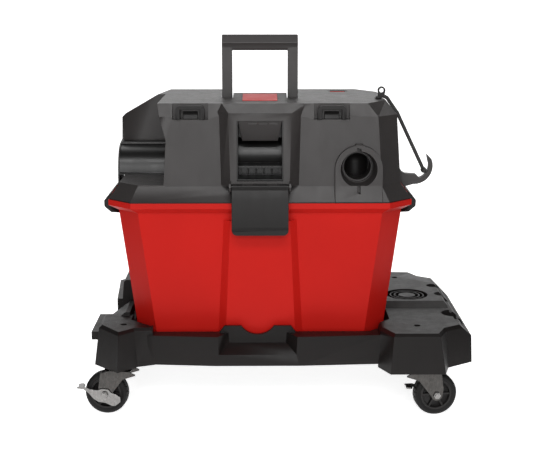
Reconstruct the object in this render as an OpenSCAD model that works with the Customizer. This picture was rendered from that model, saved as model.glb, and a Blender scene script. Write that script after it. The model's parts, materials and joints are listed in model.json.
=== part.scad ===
// Wet and dry shop vacuum: a battery powered motor head on a moulded tank, standing on a dolly with four
// swivel casters. +Z is up, +Y points to the back and +X to the vacuum's right as seen from the front.
// Sizes are worked out about the tank's middle, and in_frame() then puts the origin under the whole object.

/* [Casters] */
// Wheel diameter over the tyre
wheel_d = 76; // [74:1:77]
// Tyre width
wheel_w = 25; // [22:1:26]
// Distance that a wheel trails behind its swivel axis
caster_trail = 28; // [26:1:29]
// Height of the sockets' lower face above the floor
socket_z = 87; // [86:0.5:88]

/* [Dolly] */
// Underside of the front skirt above the floor
skirt_z = 88; // [86:1:92]
// Height of the tray floor that the tank rests on
tray_z = 123; // [121:1:124]
// Height of the rim around the tank
deck_rim_z = 141; // [139:1:144]
// Height of the corner blocks
block_z = 153; // [151:1:155]
// Height of the raised rear level
rear_z = 161; // [159:1:163]
// Wall thickness of the dolly moulding
deck_wall = 5; // [4:0.5:6]

/* [Tank] */
// Height of the joint between tank and motor head
rim_z = 375; // [372:1:378]
// Half the width of the rim
rim_x = 268; // [264:1:270]
// Half the depth of the rim
rim_y = 180; // [178:1:182]
// Inward slope of each wall, in millimetres from top to bottom
tank_draft = 28; // [24:1:30]
// Wall thickness of the tank
tank_wall = 3.5; // [3:0.5:4]

/* [Motor head] */
// Height of the top face
lid_top_z = 544; // [542:1:546]
// Wall thickness of the head's casing
lid_wall = 3; // [2.5:0.5:3.5]
// Width of the battery bay
bay_w = 80; // [76:1:82]
// Diameter of the hose bore
hose_d = 47.6; // [46:0.1:48]
// Overall height of the carry handle when it stands up
handle_top_z = 657; // [645:1:660]
// Width of the carry handle
handle_w = 138; // [136:1:139]

/* [Hose strap] */
// Diameter of the elastic cord
cord_d = 6.5; // [6:0.5:7]

/* [Hidden] */
$fn = 64;
eps = 0.05;

// Where the four swivel axes stand, and which way each wheel trails
fl_swivel = [-244, -196];
fr_swivel = [280, -208];
rl_swivel = [-240, 150];
rr_swivel = [280, 140];
swivels = [fl_swivel, fr_swivel, rl_swivel, rr_swivel];
front_turn = 8;
rear_turn = 20;
wheel_r = wheel_d / 2;
axle_r = 4;
kingpin_r = 6;

// Outer limits of the whole object about the tank's middle, which give the frame's origin
left_limit = fl_swivel[0] - (caster_trail + 50) * cos(front_turn) - (wheel_w / 2 + 7) * sin(front_turn);
right_limit = 379;
front_limit = -238;
back_limit = 200;
deck_back = 196;

// Tank and head outlines: [left, right, front, back, corner along X, corner along Y]
rim_ring = [-rim_x, rim_x, -rim_y, rim_y, 43, 43];
tank_top = [-250, 250, -171, 171, 37, 37];
tank_foot = [-250 + tank_draft, 250 - tank_draft, -171 + 22, 171 - 22, 37, 37];
groove_z = rim_z - 20;
flange_z = rim_z - 11;
lid_foot = [-rim_x, rim_x, -178, 178, 43, 43];
lid_waist = [-249, 249, -163, 163, 36, 36];
lid_shoulder = [-241, 241, -158, 158, 36, 36];
lid_crown = [-224, 224, -149, 149, 37, 62];
waist_z = rim_z + 26;
shoulder_z = lid_top_z - 22;
cradle_x = -178;
cradle_back_y = 36;
cradle_floor_z = 403;

// Battery bay and the block that stands out around it
bay_low_z = 413;
bay_high_z = 517;
bay_back_y = -115;
port_x = 171.5;
port_z = 431.5;
port_face_y = -171;

// Carry handle and the trough that it folds into
handle_y = -24;
handle_pivot_z = 534;
trough_z = 523;
trough_x = 72;
pad_x = 48;
leg_w = 18.5;

// Latches: the front one is worked out here, and the rear one is its mirror image
latch_y = -189;
latch_z = 404;
latch_w = 98;

// Hose strap, in the plane that it lies in
strap_y = -60;
strap_eye = [298.5, 414];
strap_bend = [248.3, 518.6];
strap_top = [229.2, 545.6];
strap_end = [219.5, 550.8];

module in_frame() {
  translate([-(left_limit + right_limit) / 2, -(front_limit + back_limit) / 2, 0]) children();
}

// Points of a rectangle with cut corners, from a ring and an inset
function ring_points(r, inset = 0) = let (x0 = r[0] + inset, x1 = r[1] - inset, y0 = r[2] + inset,
  y1 = r[3] - inset, cx = r[4] - 0.4 * inset, cy = r[5] - 0.4 * inset)
  [[x0 + cx, y0], [x1 - cx, y0], [x1, y0 + cy], [x1, y1 - cy], [x1 - cx, y1], [x0 + cx, y1],
   [x0, y1 - cy], [x0, y0 + cy]];

// Points on an arc
function arc(c, r, a0, a1, n = 8) = [for (i = [0:n]) let (a = a0 + (a1 - a0) * i / n)
  [c[0] + r * cos(a), c[1] + r * sin(a)]];

function ring_mix(a, b, t) = [for (i = [0:5]) a[i] + (b[i] - a[i]) * t];

// Solid between two outlines that have the same number of points
module loft(low, z0, high, z1) {
  n = len(low);
  points = concat([for (p = low) [p[0], p[1], z0]], [for (p = high) [p[0], p[1], z1]]);
  sides = [for (i = [0:n - 1]) let (j = (i + 1) % n) each [[i, n + i, n + j], [i, n + j, j]]];
  polyhedron(points, concat([[for (i = [0:n - 1]) i], [for (i = [n - 1:-1:0]) n + i]], sides));
}

module ring_loft(low, z0, high, z1, inset = 0) {
  loft(ring_points(low, inset), z0, ring_points(high, inset), z1);
}

// Box given by its limits
module block(x0, x1, y0, y1, z0, z1) {
  translate([x0, y0, z0]) cube([x1 - x0, y1 - y0, z1 - z0]);
}

// A flat outline in X and Z, or in Y and Z, drawn out along the third axis
module along_y(y0, y1) {
  rotate([90, 0, 0]) translate([0, 0, -y1]) linear_extrude(y1 - y0) children();
}

module along_x(x0, x1) {
  translate([x0, 0, 0]) rotate([90, 0, 90]) linear_extrude(x1 - x0) children();
}

module prism(points, z0, z1) {
  translate([0, 0, z0]) linear_extrude(z1 - z0) polygon(points);
}

module rod_x(y, z, x0, x1, r) {
  translate([x0, y, z]) rotate([0, 90, 0]) cylinder(h = x1 - x0, r = r);
}

module rod_y(x, z, y0, y1, r) {
  translate([x, y0, z]) rotate([-90, 0, 0]) cylinder(h = y1 - y0, r = r);
}

module rod_z(x, y, z0, z1, r) {
  translate([x, y, z0]) cylinder(h = z1 - z0, r = r);
}

module mirror_copy(v) {
  children();
  mirror(v) children();
}

// ---------- Dolly ----------

// Outlines of the two front blocks at the foot, at the lower edge of the chamfer and at the top
fl_foot = [[-296, -100], [-295, -176], [-249, -225], [-217, -194], [-186, -197], [-186, -100]];
fl_edge = [[-288, -100], [-287, -169], [-247, -220], [-222, -194], [-190, -190], [-190, -100]];
fl_top = [[-282, -100], [-281, -167], [-247, -213], [-222, -188], [-190, -184], [-190, -100]];
fr_foot = [[208, -197], [226, front_limit], [322, front_limit], [332, -201], [right_limit, -168],
  [right_limit, -50], [208, -50]];
fr_edge = [[211, -192], [231, -234], [312, -234], [327, -198], [right_limit - 2, -163],
  [right_limit - 2, -50], [211, -50]];
fr_top = [[215, -187], [234, -228], [309, -228], [323, -193], [right_limit - 2, -157],
  [right_limit - 2, -50], [215, -50]];
rr_block = [[225, -64], [right_limit - 1, -64], [right_limit - 1, 122], [346, 137], [320, 156], [306, 188],
  [225, deck_back - 2]];
rl_block = [[-276, 12], [-237, 12], [-205, 150], [-190, deck_back - 2], [-252, deck_back - 2], [-287, 160]];
base_outline = [[-262, -110], [-215, -185], [-188, -196], [-78, -206], [68, -206], [218, -196], [240, -160],
  [240, 160], [200, deck_back], [-200, deck_back], [-262, 130]];
tray_ring = [tank_foot[0] - 5, tank_foot[1] + 5, tank_foot[2] - 19, tank_foot[3] + 19, 37, 37];
recess_x = -5;
chamfer_z = block_z - 5;
front_foot_z = skirt_z - 6;
// Accessory cups in the right edge: [x, y, radius, floor]
cups = [[341, 76, 12.5, 118], [349, 12, 14.5, 118], [356, -97, 23, 112]];
ring_spot = [282, 9];

module pocket(points, top) {
  translate([0, 0, 60]) linear_extrude(top - 60) offset(delta = -deck_wall) polygon(points);
}

module deck_solid() {
  prism(base_outline, skirt_z, deck_rim_z);
  loft(fl_foot, front_foot_z, fl_edge, chamfer_z);
  loft(fl_edge, chamfer_z, fl_top, block_z);
  loft(fr_foot, front_foot_z, fr_edge, chamfer_z);
  loft(fr_edge, chamfer_z, fr_top, block_z);
  prism(rr_block, skirt_z, rear_z);
  prism(rl_block, skirt_z, block_z);
  // Raised guide beside the tank
  along_y(4, 112) polygon([[-268, 120], [-262, 188], [-258, 192], [-240, 192], [-236, 120]]);
  // Side step with its ramp
  along_y(-146, -29) polygon([[-304, 119], [-304, 134], [-250, 134], [-250, 119]]);
  along_y(-110, -29) polygon([[-290, 119], [-280, 134], [-246, 160], [-238, 160], [-238, 119]]);
  // Raised front behind the foot ledge
  along_y(-178, -168) polygon([[-79, 133], [-64, 153], [54, 153], [69, 133]]);
}

// Room for the tank and its front notch
module deck_tray() {
  ring_loft(tray_ring, tray_z, ring_mix(tray_ring, [-262, 262, -195, 183, 37, 37], 0.5), 210);
  translate([recess_x, -190, 171]) rotate([-90, 0, 0]) cylinder(h = 30, r = 34);
}

module socket_boss(p) {
  rod_z(p[0], p[1], socket_z, rear_z, 24);
  for (a = [0, 90]) translate([p[0], p[1], socket_z + 6]) rotate(a) translate([-34, -2, 0]) cube([68, 4, rear_z - socket_z - 8]);
}

module deck_inside() {
  for (p = swivels) socket_boss(p);
  for (c = cups) rod_z(c[0], c[1], c[3] - 5, rear_z, c[2] + 4);
  rod_z(ring_spot[0], ring_spot[1], rear_z - 14, rear_z, 44);
}

module dolly_deck() {
  color([0.13, 0.12, 0.12]) difference() {
    union() {
      difference() {
        deck_solid();
        deck_tray();
        difference() {
          pocket(base_outline, tray_z - deck_wall);
          block(recess_x - 78, recess_x + 78, -210, -172, 100, 130);
        }
        difference() {
          union() {
            pocket(fl_edge, chamfer_z - 1);
            pocket(fr_edge, chamfer_z - 1);
            pocket(rr_block, rear_z - deck_wall);
            pocket(rl_block, block_z - deck_wall);
          }
          prism(ring_points(tray_ring, -12), 50, 220);
          // Floor kept under the sloped step
          block(200, 400, -70, -34, block_z - 4, 200);
          // Wall kept under the sloping right edge
          along_y(-240, 210) polygon([[right_limit - 42, rear_z + 3], [right_limit + 20, rear_z + 3],
            [right_limit + 20, 84]]);
        }
      }
      intersection() {
        deck_inside();
        union() {
          prism(base_outline, socket_z - 1, deck_rim_z - 20);
          prism(fl_edge, socket_z - 1, chamfer_z);
          prism(fr_edge, socket_z - 1, chamfer_z);
          prism(rr_block, socket_z - 1, rear_z - 2);
          prism(rl_block, socket_z - 1, block_z - 2);
        }
        difference() {
          block(-400, 400, -300, 300, 0, 300);
          ring_loft(tray_ring, tray_z, ring_mix(tray_ring, [-262, 262, -195, 183, 37, 37], 0.5), 210);
        }
      }
    }
    // Foot ledge in the front wall
    translate([recess_x, 0, 0]) rotate([90, 0, 0]) loft([[-50, 123], [50, 123], [53, 154], [-53, 154]], 178,
      [[-69, 108], [69, 108], [71, 154], [-71, 154]], 207);
    // Right edge that slopes down to the outer wall, with its two grooves
    along_y(-240, 210) polygon([[right_limit - 34, rear_z + 1], [right_limit + 20, rear_z + 1],
      [right_limit + 20, rear_z - 52]]);
    along_y(-150, 108) polygon([[351, 160], [351, 149], [354, 147], [358, 149], [358, 160]]);
    along_y(-150, 108) polygon([[364, 150], [364, 138], [367, 136], [371, 138], [371, 150]]);
    // Sloped face between the two levels
    along_x(224, right_limit + 1) polygon([[-66, block_z], [-64, block_z], [-40, rear_z + eps], [-66, rear_z + eps]]);
    for (c = cups) intersection() {
      rod_z(c[0], c[1], c[3], rear_z + 20, c[2]);
      block(300, right_limit - 7, -200, 200, 100, 200);
    }
    // Ringed recess
    translate([ring_spot[0], ring_spot[1], rear_z - 8]) difference() {
      cylinder(h = 12, r = 40);
      for (r = [33, 25]) translate([0, 0, -1]) difference() {
        cylinder(h = 8, r = r);
        translate([0, 0, -1]) cylinder(h = 10, r = r - 2.5);
      }
      translate([0, 0, -1]) cylinder(h = 8, r = 16);
    }
    // Sloping underside beside the front left caster
    along_y(-240, -101) polygon([[-230, front_foot_z - 1], [-184, skirt_z], [-184, 60], [-230, 60]]);
    // Drain holes
    for (h = [[-243, -166], [278, -178], [273, 143]]) rod_z(h[0], h[1], 120, 180, 6);
    for (p = swivels) rod_z(p[0], p[1], socket_z - 5, socket_z + 40, kingpin_r + 1.1);
  }
}

// ---------- Casters ----------

fork_gap = wheel_w + 3;
fork_wall = 2.5;
crown_z = wheel_d + 2.5;

// The post that each fork turns on, with a flange above the fork and a rivet head below it
module caster_stems() {
  color([0.72, 0.72, 0.7]) for (p = swivels) {
    rod_z(p[0], p[1], crown_z - 1.5, socket_z + 38, kingpin_r);
    rod_z(p[0], p[1], crown_z - 3.6, crown_z - 0.4, 9);
    rod_z(p[0], p[1], socket_z - 2.6, socket_z - 0.1, 9.2);
  }
}

module caster_grip_rings() {
  color([0.75, 0.75, 0.72]) for (p = swivels) difference() {
    rod_z(p[0], p[1], socket_z + 12, socket_z + 32, kingpin_r + 1);
    rod_z(p[0], p[1], socket_z + 11, socket_z + 33, kingpin_r + 0.04);
    block(p[0], p[0] + 12, p[1] - 1.5, p[1] + 1.5, socket_z + 10, socket_z + 40);
  }
}

// One caster drawn about its swivel axis with the wheel trailing to -X
module fork_cheek() {
  difference() {
    union() {
      polygon([[-20, crown_z + 2.5], [18, crown_z + 2.5], [20, crown_z], [27, crown_z - 2.5], [27, crown_z - 5],
        [5, 66], [-caster_trail + 9, wheel_r - 3], [-caster_trail - 9.5, wheel_r - 3], [-caster_trail - 12, 50],
        [-caster_trail - 8, crown_z - 2]]);
      translate([-caster_trail, wheel_r]) circle(r = 10);
    }
    translate([-caster_trail, wheel_r]) circle(r = axle_r);
  }
}

module caster_fork() {
  for (s = [-1, 1]) along_y(s * (fork_gap + fork_wall) / 2 - fork_wall / 2,
    s * (fork_gap + fork_wall) / 2 + fork_wall / 2) fork_cheek();
  difference() {
    union() {
      translate([-20, -fork_gap / 2 - fork_wall, crown_z]) cube([38, fork_gap + 2 * fork_wall, 2.5]);
      translate([0, 0, crown_z]) cylinder(h = 5.5, r = 9);
    }
    translate([0, 0, 60]) cylinder(h = 40, r = kingpin_r + 0.05);
  }
}

module wheel_hub() {
  translate([-caster_trail, 0, wheel_r]) rotate([90, 0, 0]) difference() {
    union() {
      cylinder(h = wheel_w + 1, r = 10, center = true);
      difference() {
        cylinder(h = wheel_w - 2, r = wheel_r - 10, center = true);
        cylinder(h = wheel_w, r = wheel_r - 13.5, center = true);
      }
      cylinder(h = 5, r = wheel_r - 12, center = true);
      for (a = [0:60:300]) rotate(a) translate([9, -1.5, -10]) cube([wheel_r - 22, 3, 20]);
    }
    cylinder(h = wheel_w + 2, r = axle_r + 0.05, center = true);
  }
}

module tyre() {
  translate([-caster_trail, 0, wheel_r]) rotate([90, 0, 0]) difference() {
    rotate_extrude() polygon([[wheel_r - 10, -wheel_w / 2 + 1], [wheel_r - 5, -wheel_w / 2],
      [wheel_r - 1.5, -wheel_w / 2 + 2], [wheel_r, -wheel_w / 2 + 6], [wheel_r, wheel_w / 2 - 6],
      [wheel_r - 1.5, wheel_w / 2 - 2], [wheel_r - 5, wheel_w / 2], [wheel_r - 10, wheel_w / 2 - 1]]);
    for (a = [0:12:348]) rotate(a) {
      translate([wheel_r - 1.3, -1, -wheel_w]) cube([3, 2, wheel_w - 2]);
      rotate(6) translate([wheel_r - 1.3, -1, 2]) cube([3, 2, wheel_w - 2]);
    }
  }
}

// Axle bolt: its head stands further out on the side that carries a brake lever
module wheel_axle(lever_side = 0) {
  translate([-caster_trail, 0, wheel_r]) for (s = [-1, 1]) {
    head = fork_gap / 2 + fork_wall + (s == lever_side ? 3.6 : 0.2);
    rotate([s > 0 ? -90 : 90, 0, 0]) {
      cylinder(h = head + 5, r = axle_r);
      translate([0, 0, head]) cylinder(h = 3.4, r = 6.6, $fn = 6);
    }
  }
}

// Pressed steel lever that turns on the axle outside the fork, with a pedal beyond the tyre
module brake_lever(turned = 0) {
  face = fork_gap / 2 + fork_wall + 0.4;
  translate([-caster_trail, 0, wheel_r]) rotate(turned) difference() {
    union() {
      along_y(-face - 2.6, -face) polygon([[-50, 9], [-50, 12], [-36, 12], [-26, 8.5], [-14, 7.5], [-5, 10.5],
        [7, 9.5], [11, 4], [20, 1], [28, -4], [28, -12.4], [19, -19.8], [12.6, -20], [1, -15], [-11.7, -13.8],
        [-20, -8.7], [-29, 1.4], [-38, 8]]);
      hull() {
        translate([-46.5, -face - 2.6, 9]) cube([7.4, 4, 2.6]);
        translate([-45.5, -face + 14, 9]) cylinder(h = 2.6, r = 6, $fn = 32);
      }
    }
    rotate([90, 0, 0]) cylinder(h = 80, r = axle_r + 0.1, center = true);
  }
}

module at_caster(p, side, turn) {
  translate([p[0], p[1], 0]) mirror([side > 0 ? 1 : 0, 0, 0]) rotate(-turn) children();
}

// ---------- Tank ----------

module tank_panel(s) {
  scale([1, s, 1]) loft([[-77, -148], [-62, -162], [62, -162], [77, -148]], tray_z + 4,
    [[-67.5, -166], [-52, -182], [52, -182], [67.5, -166]], 343);
}

module tank() {
  color([0.75, 0.12, 0.1]) difference() {
    union() {
      ring_loft(tank_foot, tray_z, tank_top, groove_z);
      ring_loft(tank_top, groove_z, rim_ring, flange_z);
      ring_loft(rim_ring, flange_z, rim_ring, rim_z - 1.5);
      mirror_copy([0, 1, 0]) tank_panel(1);
      // Keeper bars that the latches hook under
      mirror_copy([0, 1, 0]) block(-40, 40, -188, -170, 349, 354);
      // Lugs above the side handles
      mirror_copy([1, 0, 0]) prism([[262, -78], [270, -66], [270, 66], [262, 78]], flange_z, rim_z - 1.5);
    }
    ring_loft(ring_mix(tank_foot, tank_top, 0.02), tray_z + 4, tank_top, groove_z + eps, tank_wall);
    ring_loft(tank_top, groove_z, [-252, 252, -172, 172, 37, 37], rim_z, tank_wall);
  }
}

// Grip on the tank's side with a finger pocket that opens downwards
module side_handle() {
  difference() {
    along_y(-78, 78) polygon([[246, 338], [271.5, 339.5], [283.5, 350], [284, 361], [276, 370.5], [270.4, rim_z + 1],
      [270.4, flange_z - 0.3], [258, flange_z - 0.3], [246, 353]]);
    loft([[256, -66], [269, -66], [269, 66], [256, 66]], 323, [[260, -62], [270.5, -62], [270.5, 62], [260, 62]], 357);
    ring_loft(tank_foot, tray_z, tank_top, groove_z, -0.15);
    ring_loft(tank_top, groove_z - 0.2, rim_ring, flange_z, -0.2);
  }
}

module tank_seal() {
  color([0.1, 0.1, 0.1]) difference() {
    prism(ring_points(lid_foot, 1.2), rim_z - 1.5, rim_z);
    prism(ring_points(lid_foot, 8), rim_z - 3, rim_z + 2);
  }
}

// ---------- Motor head ----------

// Casing outline at a chosen inset: flare, waist, shoulder and crown
module head_body(inset, z0 = rim_z, lift = 0) {
  ring_loft(lid_foot, z0, lid_waist, waist_z - lift, inset);
  ring_loft(lid_waist, waist_z - lift, lid_shoulder, shoulder_z - lift, inset);
  ring_loft(lid_shoulder, shoulder_z - lift, lid_crown, lid_top_z - lift, inset);
}

function bay_block(xo, yo, xi, yi) = [[-xo, yo], [-xi, yi], [xi, yi], [xo, yo], [xo, -100], [-xo, -100]];

module front_block(inset = 0) {
  top = lid_top_z + 2;
  bend_z = lid_top_z - 14;
  loft(bay_block(70 - inset, -160, 51 - inset, -183 + inset), waist_z + 2 + inset,
    bay_block(73 - inset, -155, 54 - inset, -179 + inset), bend_z);
  loft(bay_block(73 - inset, -155, 54 - inset, -179 + inset), bend_z,
    bay_block(86 - inset, -140 + inset, 67.5 - inset, -146 + inset), top - inset);
}

// Left side behind the cradle, with its long shoulder
module left_wing(inset) {
  along_y(cradle_back_y + inset, 146 - inset) polygon([[-200, waist_z - 6], [-263 + inset, waist_z - 6],
    [-260.3 + inset, 501.5], [-248 + inset, 514], [-200, lid_top_z + 1], [-150, lid_top_z + 1],
    [-150, waist_z - 6]]);
}

// Everything above the roof slope on the left, which runs slightly askew to the back
function roof_edge(x) = [[x + 34.6, lid_top_z + 20], [x - 121, lid_top_z + 20], [x - 121, lid_top_z - 70]];

module left_roof(drop = 0) {
  translate([0, 0, -drop]) rotate([90, 0, 0]) loft(roof_edge(-169.6), -200, roof_edge(-192.8), -30);
}

// Space in front of the left wing that holds hoses and tools
module cradle_space(grow = 0) {
  along_y(-200, cradle_back_y + grow) polygon([[-300, cradle_floor_z - grow], [-168 + grow, cradle_floor_z - grow],
    [-163.5 + grow, 481], [-175 + grow, 525], [cradle_x + grow, lid_top_z + 1], [-300, lid_top_z + 1]]);
}

module handle_trough(grow = 0) {
  block(-trough_x - grow, trough_x + grow, -10, 200, trough_z - grow, lid_top_z + 20);
  block(-trough_x - grow, -pad_x - 1.2 + grow, -37 - grow, 0, trough_z - grow, lid_top_z + 20);
  block(pad_x + 1.2 - grow, trough_x + grow, -37 - grow, 0, trough_z - grow, lid_top_z + 20);
}

module label_pad() {
  along_x(-pad_x, pad_x) polygon([[-134, lid_top_z - 4], [-134, lid_top_z], [-50, lid_top_z + 10], [-10, lid_top_z + 4],
    [-10, trough_z - 3], [-37, trough_z - 3], [-60, lid_top_z - 4]]);
}

module arch(x_half, grow = 0) {
  translate([port_x, port_z]) circle(r = x_half + grow);
  translate([port_x - x_half - grow, rim_z - 30]) square([2 * (x_half + grow), port_z - rim_z + 30]);
}

module clip_pockets() {
  for (x = [-120.5, 124.5]) translate([x, 0, 0]) block(-31, 31, -180, -146, 517, lid_top_z + 5);
}

module lid_shell() {
  color([0.35, 0.34, 0.34]) difference() {
    union() {
      difference() {
        union() {
          head_body(0);
          left_wing(0);
          front_block();
          mirror([0, 1, 0]) block(-56, 56, -182, -150, waist_z - 6, waist_z + 30);
        }
        block(-300, 300, -300, 300, lid_top_z, lid_top_z + 20);
        left_roof();
        cradle_space();
        handle_trough();
        difference() {
          union() {
            head_body(lid_wall, rim_z - 1, lid_wall);
            left_wing(lid_wall);
            front_block(lid_wall);
          }
          block(-300, 300, -300, 300, lid_top_z - lid_wall, lid_top_z + 20);
          left_roof(lid_wall + 0.5);
          cradle_space(lid_wall);
          handle_trough(lid_wall);
          block(-pad_x, pad_x, -140, -6, trough_z - lid_wall, lid_top_z);
          for (x = [-120.5, 124.5]) translate([x, 0, 0]) block(-34, 34, -180, -143, 514, lid_top_z);
        }
      }
      label_pad();
      // Left end wall of the cradle
      along_x(-262, -259.6) polygon(concat([[cradle_back_y, 380], [-40, 380], [-40, 401]], arc([12, 405], 51, 180, 100, 8),
        [[cradle_back_y, 459]]));
      // Ears and knuckles for the latch pins
      mirror_copy([0, 1, 0]) {
        for (x = [-53.2, 50.4]) along_x(x, x + 2.8) polygon([[-162, 393], [-180, 393], [-192, 397], [-194.5, 404],
          [-192, 410], [-180, 415], [-162, 415]]);
        for (x = [-30, 12.6]) along_x(x, x + 17.4) polygon(concat([[-162, 408.8], [-162, 395], [-182, 395]],
          arc([latch_y, latch_z], 4.8, 250, 90, 8)));
      }
      // Pin bosses for the carry handle
      block(-pad_x, pad_x, -36, -10, trough_z - lid_wall, handle_pivot_z + 6);
      // Socket block for the hose hook
      block(244, 256, -74, -46, 384, 416);
    }
    clip_pockets();
    block(-bay_w / 2, bay_w / 2, -200, bay_back_y, bay_low_z, bay_high_z);
    // Opening for the hose inlet
    along_y(-200, -140) arch(41.3, 0.2);
    // Clearance for the latch rolls between their knuckles
    mirror_copy([0, 1, 0]) {
      for (s = [[-50.2, -30.2], [-12.4, 12.4], [30.2, 50.2]]) rod_x(latch_y, latch_z, s[0], s[1], 6.6);
      rod_x(latch_y, latch_z, -60, 60, 2.5);
    }
    rod_x(handle_y, handle_pivot_z, -80, 80, 4);
    rod_x(handle_y, handle_pivot_z, -trough_x, -pad_x, 12);
    rod_x(handle_y, handle_pivot_z, pad_x, trough_x, 12);
    // Switch opening, exhaust opening, label seat and screw holes
    block(131, 169, 82, 118, 503, lid_top_z + 5);
    block(-70, 70, 150, 190, 439, 489);
    translate([0, -51, lid_top_z + 9.9]) rotate([atan(10 / 84), 0, 0]) block(-31, 31, -68, -10, -1.2, 3);
    for (p = screw_spots) rod_z(p[0], p[1], rim_z - 2, rim_z + 18, 2);
  }
}

screw_spots = [[-225, 120], [225, 120], [225, -120], [-225, -120]];

module lid_base() {
  color([0.15, 0.15, 0.15]) difference() {
    union() {
      prism(ring_points(lid_foot, 9), rim_z - 1, rim_z + 3);
      // Skirt that locates inside the tank's mouth
      difference() {
        prism(ring_points(tank_top, 6.5), rim_z - 10, rim_z);
        prism(ring_points(tank_top, 9), rim_z - 11, rim_z - 1);
      }
      for (p = screw_spots) rod_z(p[0], p[1], rim_z + 2, rim_z + 6, 7);
      rod_z(0, 35, rim_z + 2, rim_z + 8, 72);
    }
    rod_z(0, 35, rim_z - 20, rim_z + 20, 26);
    rod_z(port_x, -85, rim_z - 20, rim_z + 20, 28);
    for (p = screw_spots) rod_z(p[0], p[1], rim_z - 20, rim_z + 20, 2.2);
  }
}

module lid_screws() {
  color([0.7, 0.7, 0.7]) for (p = screw_spots) {
    rod_z(p[0], p[1], rim_z - 5, rim_z - 1, 4);
    rod_z(p[0], p[1], rim_z - 2, rim_z + 16, 1.95);
  }
}

module inlet_collar() {
  color([0.33, 0.32, 0.32]) difference() {
    union() {
      intersection() {
        along_y(-181, -150) arch(41.3);
        union() {
          along_x(100, 240) polygon([[port_face_y, 473], [port_face_y - 1, waist_z + 2], [-180.5, rim_z + 0.3],
            [-169.5, rim_z + 0.3], [-169.5, rim_z + 3.2], [-150, waist_z], [-150, 473]]);
        }
      }
      rod_y(port_x, port_z, port_face_y + 2, -92, 33.5);
      along_y(port_face_y + 0.4, -160) translate([port_x - 7, port_z + 38]) square([14, 6]);
    }
    translate([port_x, port_face_y - 1, port_z]) rotate([-90, 0, 0]) cylinder(h = 30, r1 = 32, r2 = 27);
    rod_y(port_x, port_z, port_face_y - 1, -133, 26.2);
    rod_y(port_x, port_z, port_face_y - 1, -90, hose_d / 2);
    // Keyway above the bore and the drip slot below it
    along_y(port_face_y - 2, -150) translate([port_x - 3.7, port_z + 22]) square([7.4, 14.5]);
    along_y(-190, port_face_y + 4) translate([port_x - 3, port_z - 42]) square([6, 13]);
  }
}

module inlet_elbow() {
  color([0.2, 0.2, 0.2]) difference() {
    union() {
      rod_y(port_x, port_z, -91.9, -85, 27);
      rod_z(port_x, -85, rim_z - 40, port_z, 27);
      translate([port_x, -85, port_z]) sphere(r = 27);
    }
    rod_y(port_x, port_z, -95, -85, 22);
    rod_z(port_x, -85, rim_z - 45, port_z, 22);
    translate([port_x, -85, port_z]) sphere(r = 22.2);
    // Flat face behind the collar
    block(port_x - 40, port_x + 40, -125, -91.9, port_z - 40, port_z + 40);
  }
}

module battery_bay_liner() {
  color([0.07, 0.07, 0.07]) intersection() {
    block(-bay_w / 2, bay_w / 2, -176, bay_back_y, bay_low_z, bay_high_z);
    difference() {
      union() {
        block(-40, 40, -122, bay_back_y, bay_low_z, bay_high_z);
        for (x = [-40, 38]) translate([x, -176, bay_low_z]) cube([2, 60, bay_high_z - bay_low_z]);
        rod_x(-122, 455, -39, 39, 27);
        // Lip over the contact slot
        along_x(-39, 39) polygon([[-149, 439], [-157, 436], [-157, 432.5], [-118, 430], [-118, 443]]);
        block(-40, 40, -176, bay_back_y, bay_low_z, bay_low_z + 2.5);
      }
      block(-33, 33, -170, -119, bay_low_z + 4, 429);
    }
  }
}

module battery_hood() {
  color([0.32, 0.31, 0.31]) difference() {
    loft([[-31, -159], [31, -159], [31, -149.2], [-31, -149.2]], 480, [[-37.8, -178], [37.8, -178],
      [37.8, -122.3], [-37.8, -122.3]], bay_high_z - 0.2);
    rod_x(-122, 455, -41, 41, 27.2);
    for (x = [-20, -2, 16]) block(x, x + 15, -200, -174.5, 507.5, 513.5);
  }
}

module battery_contacts() {
  color([0.8, 0.6, 0.3]) for (x = [-21, -7, 7, 21]) block(x - 0.6, x + 0.6, -132, -119.02, 418, 426);
}

module label_plate() {
  color([0.78, 0.1, 0.1]) translate([0, -51, lid_top_z + 9.9]) rotate([atan(10 / 84), 0, 0])
    block(-30.8, 30.8, -67.8, -10.2, -1.15, 0.6);
}

module hose_cradle_liner() {
  color([0.09, 0.09, 0.09]) difference() {
    union() {
      block(-259.4, -166, -44, cradle_back_y, cradle_floor_z, cradle_floor_z + 2.4);
      rod_x(12, 405, -259.4, -164.5, 48);
      block(-259.4, -164, 9, cradle_back_y, 447, 458);
      rod_x(10, 454.5, -259.4, -164, 3.5);
    }
    block(-300, -100, -100, 100, 300, cradle_floor_z + 0.02);
    block(-300, -100, cradle_back_y - 0.02, 100, 300, 503);
    block(-170, -100, -60, 60, 402, 408);
    along_y(-60, 40) polygon([[-168.02, 403], [-163.52, 481], [-140, 481], [-140, 403]]);
  }
}

module loop_clips() {
  color([0.2, 0.2, 0.2]) for (x = [-120.5, 124.5]) translate([x, 0, 0]) {
    along_y(-163, -155) difference() {
      union() {
        translate([-17, 533]) circle(r = 8);
        translate([17, 533]) circle(r = 8);
        translate([-17, 525]) square([34, 16]);
        translate([-25, 517.02]) square([50, 16]);
      }
      translate([-17, 517]) square([34, 17]);
    }
    block(-25, -17, -160, -146.02, 517.02, 525);
    block(17, 25, -160, -146.02, 517.02, 525);
    along_x(-13, 13) polygon([[-152, 517.02], [-150.5, 525], [-146.02, 531], [-146.02, 517.02]]);
  }
}

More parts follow.
